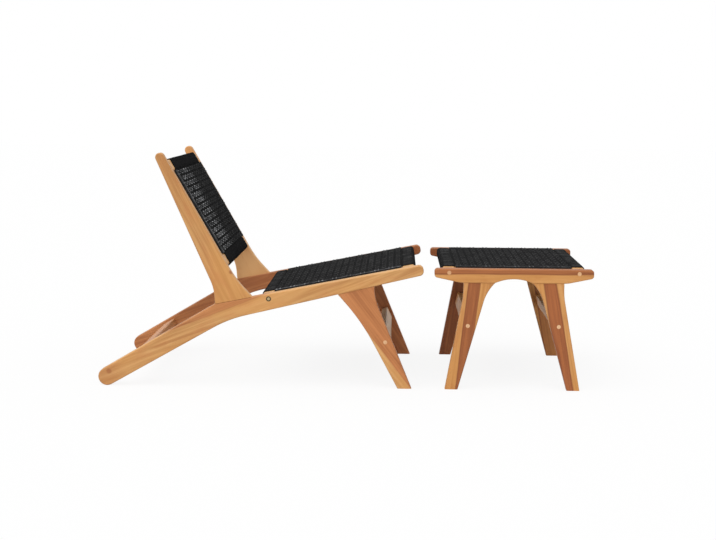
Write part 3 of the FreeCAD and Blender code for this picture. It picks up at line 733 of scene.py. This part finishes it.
@dataclass
class WovenPanel:
    """A cord panel: rings packed on two cross rails, bands of warps between them, and rows of wefts.

    Its own frame has X from the first cross rail to the second, Z out of the sitting side, and its
    origin midway between the two rails.

    Attributes:
        prefix: start of the names of its pieces.
        body: the body that they ride on.
        rails: the two cross rails.
        finish, rub: the cord's finish, and where its crests get painted glints.
        cord: from one cord to the next, where they lie side by side.
        swell: a cord's thickness over that distance; the cords press together.
        clearance: from the wood to a cord of plain thickness.
        rail, batten: sections of the cross rails and of the battens.
        batten_gap: from the end of a cross rail in to the batten.
        batten_rise, sheet_rise: height of the battens and of the weave over the middle of the rails.
        bare_end: least length at each end of a cross rail that has no cord.
        rings_between, warp_strands: rings between two bands of warps, and warps in a band.
        row_profile: how far each weft of a row stands out.
        weft_rise, warp_rise: height of the waves of the wefts and of the warps.
        bay_gap: from a cross rail to the nearest row of wefts.
        end_lift: lift of the wefts over the battens.
        over_lift: further lift there of a row's highest wefts, where they come from over a warp.
        corner_steps, section_steps, points_per_wave: fineness of bends, of the section and of waves.
        wander, wander_size: how far the cords stray, and over what length.
    """

    prefix: str
    body: Body
    rails: tuple[str, str]
    finish: CordFinish
    glints: GlintBand
    cord: float = 0.0033
    clearance: float = 0.00015
    rail: Bar = field(default_factory=lambda: Bar(0.017, 0.011, 0.005))
    batten: Bar = field(default_factory=lambda: Bar(0.012, 0.008, 0.003))
    batten_gap: float = 0.005
    batten_rise: float = 0.0027
    sheet_rise: float = 0.0118
    bare_end: float = 0.030
    rings_between: int = 5
    warp_strands: int = 2
    row_profile: tuple[float, ...] = (-0.0003, 0.0006, 0.0002, 0.0002, 0.0006, -0.0003)
    swell: float = 1.2
    weft_rise: float = 0.0009
    warp_rise: float = 0.0014
    bay_gap: float = 0.0013
    end_lift: float = 0.0006
    over_lift: float = 0.0011
    corner_steps: int = 3
    section_steps: int = 1
    points_per_wave: int = 8
    wander: float = 0.0009
    wander_size: float = 0.03

    def __post_init__(self) -> None:
        """Works the panel's frame and counts out from the two cross rails."""
        first, second = (middle_of(rail) for rail in self.rails)
        across = Vector((0.0, 1.0, 0.0))
        along = (second - first).normalized()
        columns = Matrix((along, across, along.cross(across))).transposed()
        self.place = Matrix.Translation((first + second) / 2) @ columns.to_4x4()
        self.half_span = (second - first).length / 2
        self.half_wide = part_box(self.rails[0])[1].y
        self.gap = self.cord / 2 + self.clearance
        period = self.rings_between + self.warp_strands
        self.warp_pitch = period * self.cord
        laid = 2 * (self.half_wide - self.bare_end) / self.cord
        self.warps = 2 * int((laid - self.rings_between) / (2 * period))
        bay = 2 * (self.half_span - self.rail.half_wide - self.bay_gap)
        self.rows = round(bay / (len(self.row_profile) * self.cord))
        self.row_step = bay / self.rows
        self.batten_y = self.half_wide - self.batten_gap - self.batten.half_wide

    def build(self) -> None:
        """Makes the rings, the warps and the wefts, and dresses them."""
        crest = self.sheet_rise + max(self.row_profile) + self.weft_rise + self.cord * self.swell / 2
        bay = self.half_span - self.rail.half_wide
        flank = self.batten_y - self.batten.half_wide
        material = self.finish.material(self.prefix, self.place, crest, bay, flank, self.glints)
        half_pitch = self.warp_pitch / 2
        first_gap = -self.warps * half_pitch
        rings = [self.ring(sign, first_gap + offset * self.cord)
                 for sign in (-1, 1) for offset in self.spread(self.rings_between)]
        self.piece("rings", rings, self.warps + 1, (0.0, self.warp_pitch, 0.0), material)

        first_warp = first_gap + half_pitch
        warps = [self.warp(first_warp + number * self.warp_pitch, offset * self.cord, sign)
                 for number, sign in ((0, 1), (1, -1)) for offset in self.spread(self.warp_strands)]
        self.piece("warps", warps, self.warps // 2, (0.0, 2 * self.warp_pitch, 0.0), material)

        first_row = -(self.rows - 1) * self.row_step / 2
        strands = len(self.row_profile)
        wefts = []
        for number in range(self.rows):
            for offset, rise in zip(self.spread(strands), self.row_profile):
                place = first_row + (number + offset / strands) * self.row_step
                wefts.append(self.weft(place, rise, -1 if number % 2 else 1))
        self.piece("wefts", wefts, 1, (0.0, 0.0, 0.0), material)

    @staticmethod
    def spread(count: int) -> list[float]:
        """Offsets of strands side by side, in strand widths from the middle of their band."""
        return [number - (count - 1) / 2 for number in range(count)]

    def ring(self, sign: int, y: float) -> list[Vector]:
        """A ring of cord round one cross rail.

        Args:
            sign: which rail, -1 the first.
            y: its place across the panel.

        Returns:
            Its closed line.
        """
        line = self.rail.wrap(self.gap, self.corner_steps)
        return [Vector((sign * (self.half_span + out), y, up)) for out, up in line]

    def warp(self, y: float, offset: float, sign: int) -> list[Vector]:
        """A warp cord round the first rail, over and under the wefts, and round the second rail.

        Args:
            y: the middle of its band.
            offset: its place in the band.
            sign: whether it starts over or under the first weft row.

        Returns:
            Its line.
        """
        place = y + offset
        hook = self.rail.wrap(self.gap, self.corner_steps)[:-1]  # round the rail, just short of its start
        end = [Vector((self.half_span + out, place, up)) for out, up in hook]
        end.insert(0, Vector((self.half_span - self.rail.half_wide, place, end[0].z)))
        start = [Vector((-point.x, point.y, point.z)) for point in reversed(end)]
        count = self.rows * self.points_per_wave // 2
        reach = self.rows * self.row_step / 2
        middle = []
        for number in range(count + 1):
            x = (2 * number / count - 1) * reach
            wave = math.sin((x + reach) * math.pi / self.row_step)
            middle.append(Vector((x, place, self.sheet_rise - sign * self.warp_rise * wave)))
        return start + middle + end

    def weft(self, place: float, rise: float, sign: int) -> list[Vector]:
        """A weft cord round one batten, over and under the warps, and round the other batten.

        Args:
            place: where it lies along the panel.
            rise: how far it stands out of its row.
            sign: whether it starts over or under the first warp.

        Returns:
            Its line.
        """
        hook = self.batten.wrap(self.gap, self.corner_steps)[:-self.corner_steps]  # ends at the last corner
        start, end = ([Vector((place, side * (self.batten_y + out), self.batten_rise + up))
                       for out, up in hook] for side in (-1, 1))
        for line, over in ((start, sign > 0), (end, sign < 0)):
            lift = self.end_lift + (self.over_lift if over and rise == max(self.row_profile) else 0.0)
            for point in line[:self.corner_steps]:
                point.z += lift
            inward = math.copysign(self.batten.half_wide * 2, line[0].y)
            line.insert(0, Vector((place, line[0].y - inward, line[0].z)))
        start.reverse()
        count = self.warps * self.points_per_wave // 2
        reach = self.warps * self.warp_pitch / 2
        middle = []
        for number in range(count + 1):
            y = (2 * number / count - 1) * reach
            wave = math.sin((y + reach) * math.pi / self.warp_pitch)
            middle.append(Vector((place, y, self.sheet_rise + rise + sign * self.weft_rise * wave)))
        return start + middle + end

    def piece(self, kind: str, lines: Iterable[list[Vector]], copies: int, step: Sequence[float],
              material: bpy.types.Material) -> None:
        """Makes one repeat of a layer as cords, repeats it over the panel and sets it in place.

        Args:
            kind: rings, warps or wefts.
            lines: the lines of one repeat.
            copies: how many repeats.
            step: from one repeat to the next, in the panel's frame.
            material: the cord's finish.
        """
        name = f"{self.prefix}_{kind}"
        closed = kind == "rings"
        curve = bpy.data.curves.new(name, "CURVE")
        curve.dimensions = "3D"
        curve.bevel_depth = self.cord * self.swell / 2
        curve.bevel_resolution = self.section_steps
        curve.use_fill_caps = not closed
        for line in lines:
            spline = curve.splines.new("POLY")
            spline.points.add(len(line) - 1)
            spline.points.foreach_set("co", [part for point in line for part in (*point, 1.0)])
            spline.use_cyclic_u = closed
        item = bpy.data.objects.new(name, curve)
        bpy.context.scene.collection.objects.link(item)
        select_only(item)
        bpy.ops.object.convert(target="MESH")
        self.repeat(item, copies, step)
        item.data.transform(self.place)
        self.loosen(item)
        bpy.ops.object.shade_smooth()
        item.data.materials.clear()
        item.data.materials.append(material)
        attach(item, self.body.value)
        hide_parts(f"{self.prefix}_weave")
        log.info("wove %s: %d faces", name, len(item.data.polygons))

    @staticmethod
    def repeat(item: bpy.types.Object, copies: int, step: Sequence[float]) -> None:
        """Repeats a layer's cords with an applied array.

        Args:
            item: the cords of one repeat.
            copies: how many repeats.
            step: from one repeat to the next.
        """
        array = item.modifiers.new("repeat", "ARRAY")
        array.count = copies
        array.use_relative_offset = False
        array.use_constant_offset = True
        array.constant_offset_displace = step
        bpy.ops.object.modifier_apply(modifier=array.name)

    def loosen(self, item: bpy.types.Object) -> None:
        """Lets the cords wander a little, all layers alike, as hand weaving does.

        Args:
            item: a layer, in its place.
        """
        cloud = bpy.data.textures.new(f"{item.name}_wander", "CLOUDS")
        cloud.noise_scale = self.wander_size
        cloud.cloud_type = "COLOR"
        shift = item.modifiers.new("wander", "DISPLACE")
        shift.texture = cloud
        shift.texture_coords = "GLOBAL"
        shift.direction = "RGB_TO_XYZ"
        shift.strength = self.wander
        bpy.ops.object.modifier_apply(modifier=shift.name)
        bpy.data.textures.remove(cloud)


@dataclass
class Woodwork:
    """The teak solids of one body, each with its own cut."""

    timber: Timber
    cuts: dict[str, Cut]
    first_seed: float = 0.0
    seed_step: float = 11.7

    def dress(self) -> None:
        """Gives every solid its own board."""
        for number, (node, cut) in enumerate(self.cuts.items()):
            seed = self.first_seed + number * self.seed_step + cut.board
            dress(node, self.timber.material(node, cut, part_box(node), seed))


@dataclass
class Hardware:
    """Bolts, barrel nuts and screws."""

    bolt: Metal
    steel: Metal
    bright_radius: float = 0.0036
    bolts: str = "seat_bolts"
    steels: tuple[str, ...] = ("barrel_nuts", "front_stretcher_screws", "stool_stretcher_screws",
                               "stool_rail_screws")

    def dress(self) -> None:
        """Gives the metal solids their finishes."""
        axis = middle_of(self.bolts)
        dress(self.bolts, self.bolt.material(self.bolts, (axis.x, axis.z), self.bright_radius))
        for node in self.steels:
            dress(node, self.steel.material(node))


@dataclass
class Studio:
    """A white floor under an even sky, one broad soft lamp, and the camera of the photograph.

    Attributes:
        floor_size, floor_colour: the floor's side and colour.
        floor_glow: how far the floor is plain white to the eye, without its shadow.
        sky: the sky's strength as a light.
        lamp_strength, lamp_angle: the lamp's strength and breadth.
        lamp_heading, lamp_height: where the lamp stands, in degrees.
        eye, yaw, pitch, roll, focal_pixels: the camera's place, turn in degrees and length in photo pixels.
    """

    floor_size: float = 40.0
    floor_colour: Colour = (0.86, 0.86, 0.86)
    floor_glow: float = 0.88
    sky: float = 0.62
    lamp_strength: float = 1.9
    lamp_angle: float = 70.0
    lamp_heading: float = -24.0
    lamp_height: float = 58.0
    eye: tuple[float, float, float] = (0.1434, -4.3775, 0.8104)
    yaw: float = -1.488
    pitch: float = 6.663
    roll: float = 0.440
    focal_pixels: float = 1480.3

    def build(self) -> None:
        """Makes the floor, the light and the camera."""
        self.lay_floor()
        self.light_sky()
        self.hang_lamp()
        self.set_camera()
        bpy.context.scene.view_settings.view_transform = "Standard"

    def lay_floor(self) -> None:
        """Makes the floor: white to the eye, with the shadow kept."""
        bpy.ops.object.select_all(action="DESELECT")
        bpy.ops.mesh.primitive_plane_add(size=self.floor_size)
        floor = bpy.context.object
        floor.name = "studio_floor"
        made = bpy.data.materials.new("studio_floor")
        tree = ShaderTree(made)
        matt = tree.node("ShaderNodeBsdfDiffuse", sockets={"Color": (*self.floor_colour, 1.0)})
        glow = tree.node("ShaderNodeEmission", sockets={"Color": WHITE, "Strength": 1.0})
        share = self.seen(tree) * self.floor_glow
        mixed = tree.node("ShaderNodeMixShader", sockets={0: share, 1: matt, 2: glow})
        tree.node("ShaderNodeOutputMaterial", sockets={"Surface": mixed})
        floor.data.materials.append(made)
        log.info("laid the floor")

    @staticmethod
    def seen(tree: ShaderTree) -> Signal:
        """1 on rays that show the background: from the camera, off gloss or through glass."""
        path = tree.node("ShaderNodeLightPath").socket.node.outputs
        rays = [Signal(tree, path[name])
                for name in ("Is Camera Ray", "Is Glossy Ray", "Is Transmission Ray")]
        return tree.math("MINIMUM", rays[0] + rays[1] + rays[2], 1.0)

    def light_sky(self) -> None:
        """Makes the sky: white to the eye, softer as a light."""
        world = bpy.data.worlds.new("studio_sky")
        bpy.context.scene.world = world
        tree = ShaderTree(world)
        seen = self.seen(tree)
        strength = seen * (1.0 - self.sky) + self.sky
        sky = tree.node("ShaderNodeBackground", sockets={"Color": WHITE, "Strength": strength})
        tree.node("ShaderNodeOutputWorld", sockets={"Surface": sky})

    def hang_lamp(self) -> None:
        """Makes the broad lamp, above the camera and a little to its left."""
        bpy.ops.object.light_add(type="SUN")
        lamp = bpy.context.object
        lamp.name = "studio_lamp"
        lamp.data.energy = self.lamp_strength
        lamp.data.angle = math.radians(self.lamp_angle)
        lamp.rotation_euler = (math.radians(90.0 - self.lamp_height), 0.0, math.radians(self.lamp_heading))

    def set_camera(self) -> None:
        """Makes the camera at the photograph's place, turn and length."""
        yaw, pitch, roll = (math.radians(angle) for angle in (self.yaw, self.pitch, self.roll))
        ahead = Vector((math.sin(yaw) * math.cos(pitch), math.cos(yaw) * math.cos(pitch),
                        -math.sin(pitch)))
        level = Vector((math.cos(yaw), -math.sin(yaw), 0.0))
        upright = level.cross(ahead)
        right = level * math.cos(roll) + upright * math.sin(roll)
        up = upright * math.cos(roll) - level * math.sin(roll)
        turn = Matrix((right, up, -ahead)).transposed().to_4x4()
        bpy.ops.object.camera_add()
        camera = bpy.context.object
        camera.name = "studio_camera"
        camera.matrix_world = Matrix.Translation(Vector(self.eye)) @ turn
        camera.data.sensor_fit = "HORIZONTAL"
        camera.data.sensor_width = SENSOR_WIDTH
        camera.data.lens = self.focal_pixels * SENSOR_WIDTH / PHOTO_WIDTH
        bpy.context.scene.camera = camera


CHAIR_TEAK = Timber(pale=(0.72, 0.42, 0.18), plain=(0.59, 0.315, 0.115), dark=(0.45, 0.21, 0.07),
                    amber=(0.60, 0.275, 0.075), heart_plain=(0.52, 0.19, 0.066),
                    heart_dark=(0.31, 0.095, 0.032))
STOOL_TEAK = Timber(pale=(0.68, 0.36, 0.13), plain=(0.57, 0.275, 0.09), dark=(0.41, 0.17, 0.05),
                    amber=(0.55, 0.24, 0.06), heart_plain=(0.395, 0.127, 0.039),
                    heart_dark=(0.23, 0.066, 0.021), line_amount=0.85)
PALE_TEAK = Timber(pale=(0.80, 0.55, 0.34), plain=(0.72, 0.45, 0.25), dark=(0.60, 0.33, 0.16),
                   amber=(0.70, 0.42, 0.22), heart_plain=(0.55, 0.26, 0.12), heart_dark=(0.35, 0.14, 0.06))
# the dark colour serves as the patina and as the painted shade round the bolt heads
BOLT_METAL = Metal(bright=(0.62, 0.47, 0.25), patina_and_shade=(0.05, 0.035, 0.022), roughness=0.32)
SCREW_STEEL = Metal(bright=(0.62, 0.62, 0.61), patina_and_shade=(0.36, 0.36, 0.36), roughness=0.3)
ALL_ABOVE = 1.0
# bands of painted glints on the crests, on the side towards -Y: along the near edge of the seat and the
# stool, and over the near half of the back
SEAT_GLINTS = GlintBand(near=-0.30, far=-0.257, fade=0.009, amount=0.7)
BACK_GLINTS = GlintBand(near=-0.225, far=-0.05, fade=0.07, amount=1.0, wraps=0.15)
STOOL_GLINTS = GlintBand(near=-0.30, far=-0.257, fade=0.009, amount=0.3)

CHAIR_CUTS = {
    "right_side_rail": Cut(21.8, (-0.386, 0.1965), staves=(Stave(0.0, ALL_ABOVE, 0.7),),
                           knots=(Knot(-0.660, 0.040, 0.013, 0.7), Knot(-0.680, 0.010, 0.09, 0.3))),
    # far side: heartwood red and a darker tone, partly painted shade for the shade on its inner face
    "left_side_rail": Cut(20.0, red=0.85, tone=0.12),
    # a small dark spot at the post's front edge, below the weave
    "right_back_post": Cut(117.0, tone=0.2, knots=(Knot(-0.315, 0.3245, 0.010),)),
    # far side: lightened and a little redder, painted light for the light its shaded inner face lacks
    "left_back_post": Cut(115.0, red=0.2, tone=-0.45),
    "right_front_leg": Cut(-53.0, (0.122, 0.087), board=2.3, staves=(Stave(0.0, ALL_ABOVE, 0.85),)),
    # far side: all heartwood, partly painted shade for the shade on its inner face
    "left_front_leg": Cut(-58.0, red=1.0, tone=-0.05),
    # redder, partly heartwood and partly painted shade for the shade under the seat
    "rear_stretcher": Cut(run=Run.ACROSS, red=0.75),
    "seat_rear_rail": Cut(run=Run.ACROSS, tone=-0.2),
    "seat_front_rail": Cut(run=Run.ACROSS, tone=-0.2),
    "seat_right_batten": Cut(11.3),
    "seat_left_batten": Cut(11.3),
    "back_top_rail": Cut(run=Run.ACROSS, tone=-0.4),
    "back_bottom_rail": Cut(run=Run.ACROSS, tone=-0.2),
    "back_right_batten": Cut(120.0),
    "back_left_batten": Cut(120.0),
}
STOOL_CUTS = {
    "stool_right_rail": Cut(0.0, (0.4705, 0.327), staves=(Stave(0.0, ALL_ABOVE, 0.9),)),
    # far side: heartwood red and a darker tone, partly painted shade for the shade on its inner face
    "stool_left_rail": Cut(0.0, red=0.85, tone=0.35),
    "stool_right_rear_leg": Cut(84.0, (0.333, 0.18), staves=(Stave(-0.030, 0.001, 0.95),)),
    # far side: heartwood red and a darker tone, partly painted shade for the shade under the stool
    "stool_left_rear_leg": Cut(82.0, red=0.95, tone=0.12),
    "stool_right_front_leg": Cut(-80.0, (0.571, 0.18), staves=(Stave(0.004, 0.038, 1.0),)),
    # far side: partly heartwood, partly painted shade for the shade under the stool
    "stool_left_front_leg": Cut(-80.0, (0.60, 0.18), red=0.55, staves=(Stave(-0.08, -0.012, 0.1),)),
    "stool_rear_stretcher": Cut(run=Run.ACROSS),
    "stool_front_stretcher": Cut(run=Run.ACROSS),
    "stool_rear_rail": Cut(run=Run.ACROSS),
    "stool_front_rail": Cut(run=Run.ACROSS),
    "stool_right_batten": Cut(0.0),
    "stool_left_batten": Cut(0.0),
}
PALE_CUTS = {
    # lightened, painted light for the light its faces lack in the shade under the seat
    "front_stretcher": Cut(run=Run.ACROSS, tone=-0.5),
    "front_stretcher_plugs": Cut(30.0),
    "stool_stretcher_plugs": Cut(75.0),
    "stool_rail_plugs": Cut(10.0, tone=0.25),
    "post_dowels": Cut(101.0),
    "leg_dowels": Cut(101.0),
    "seat_rail_dowels": Cut(run=Run.ACROSS),
    "back_rail_dowels": Cut(run=Run.ACROSS),
    "rear_stretcher_dowels": Cut(run=Run.ACROSS),
    "seat_batten_dowels": Cut(11.3),
    "back_batten_dowels": Cut(120.0),
    "stool_batten_dowels": Cut(0.0),
    "stool_leg_dowels": Cut(90.0),
}


def main() -> None:
    """Dresses the frame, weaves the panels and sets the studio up."""
    logging.basicConfig(level=logging.INFO, format="%(name)s: %(message)s")
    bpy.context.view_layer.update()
    Woodwork(CHAIR_TEAK, CHAIR_CUTS).dress()
    Woodwork(STOOL_TEAK, STOOL_CUTS, first_seed=401.0).dress()
    Woodwork(PALE_TEAK, PALE_CUTS, first_seed=803.0).dress()
    Hardware(BOLT_METAL, SCREW_STEEL).dress()
    cord = CordFinish()
    for prefix, body, rails, glints in (
            ("seat", Body.CHAIR, ("seat_rear_rail", "seat_front_rail"), SEAT_GLINTS),
            ("back", Body.CHAIR, ("back_top_rail", "back_bottom_rail"), BACK_GLINTS),
            ("stool", Body.FOOTSTOOL, ("stool_rear_rail", "stool_front_rail"), STOOL_GLINTS)):
        WovenPanel(prefix, body, rails, cord, glints).build()
    Studio().build()


if __name__ == "__main__":
    main()
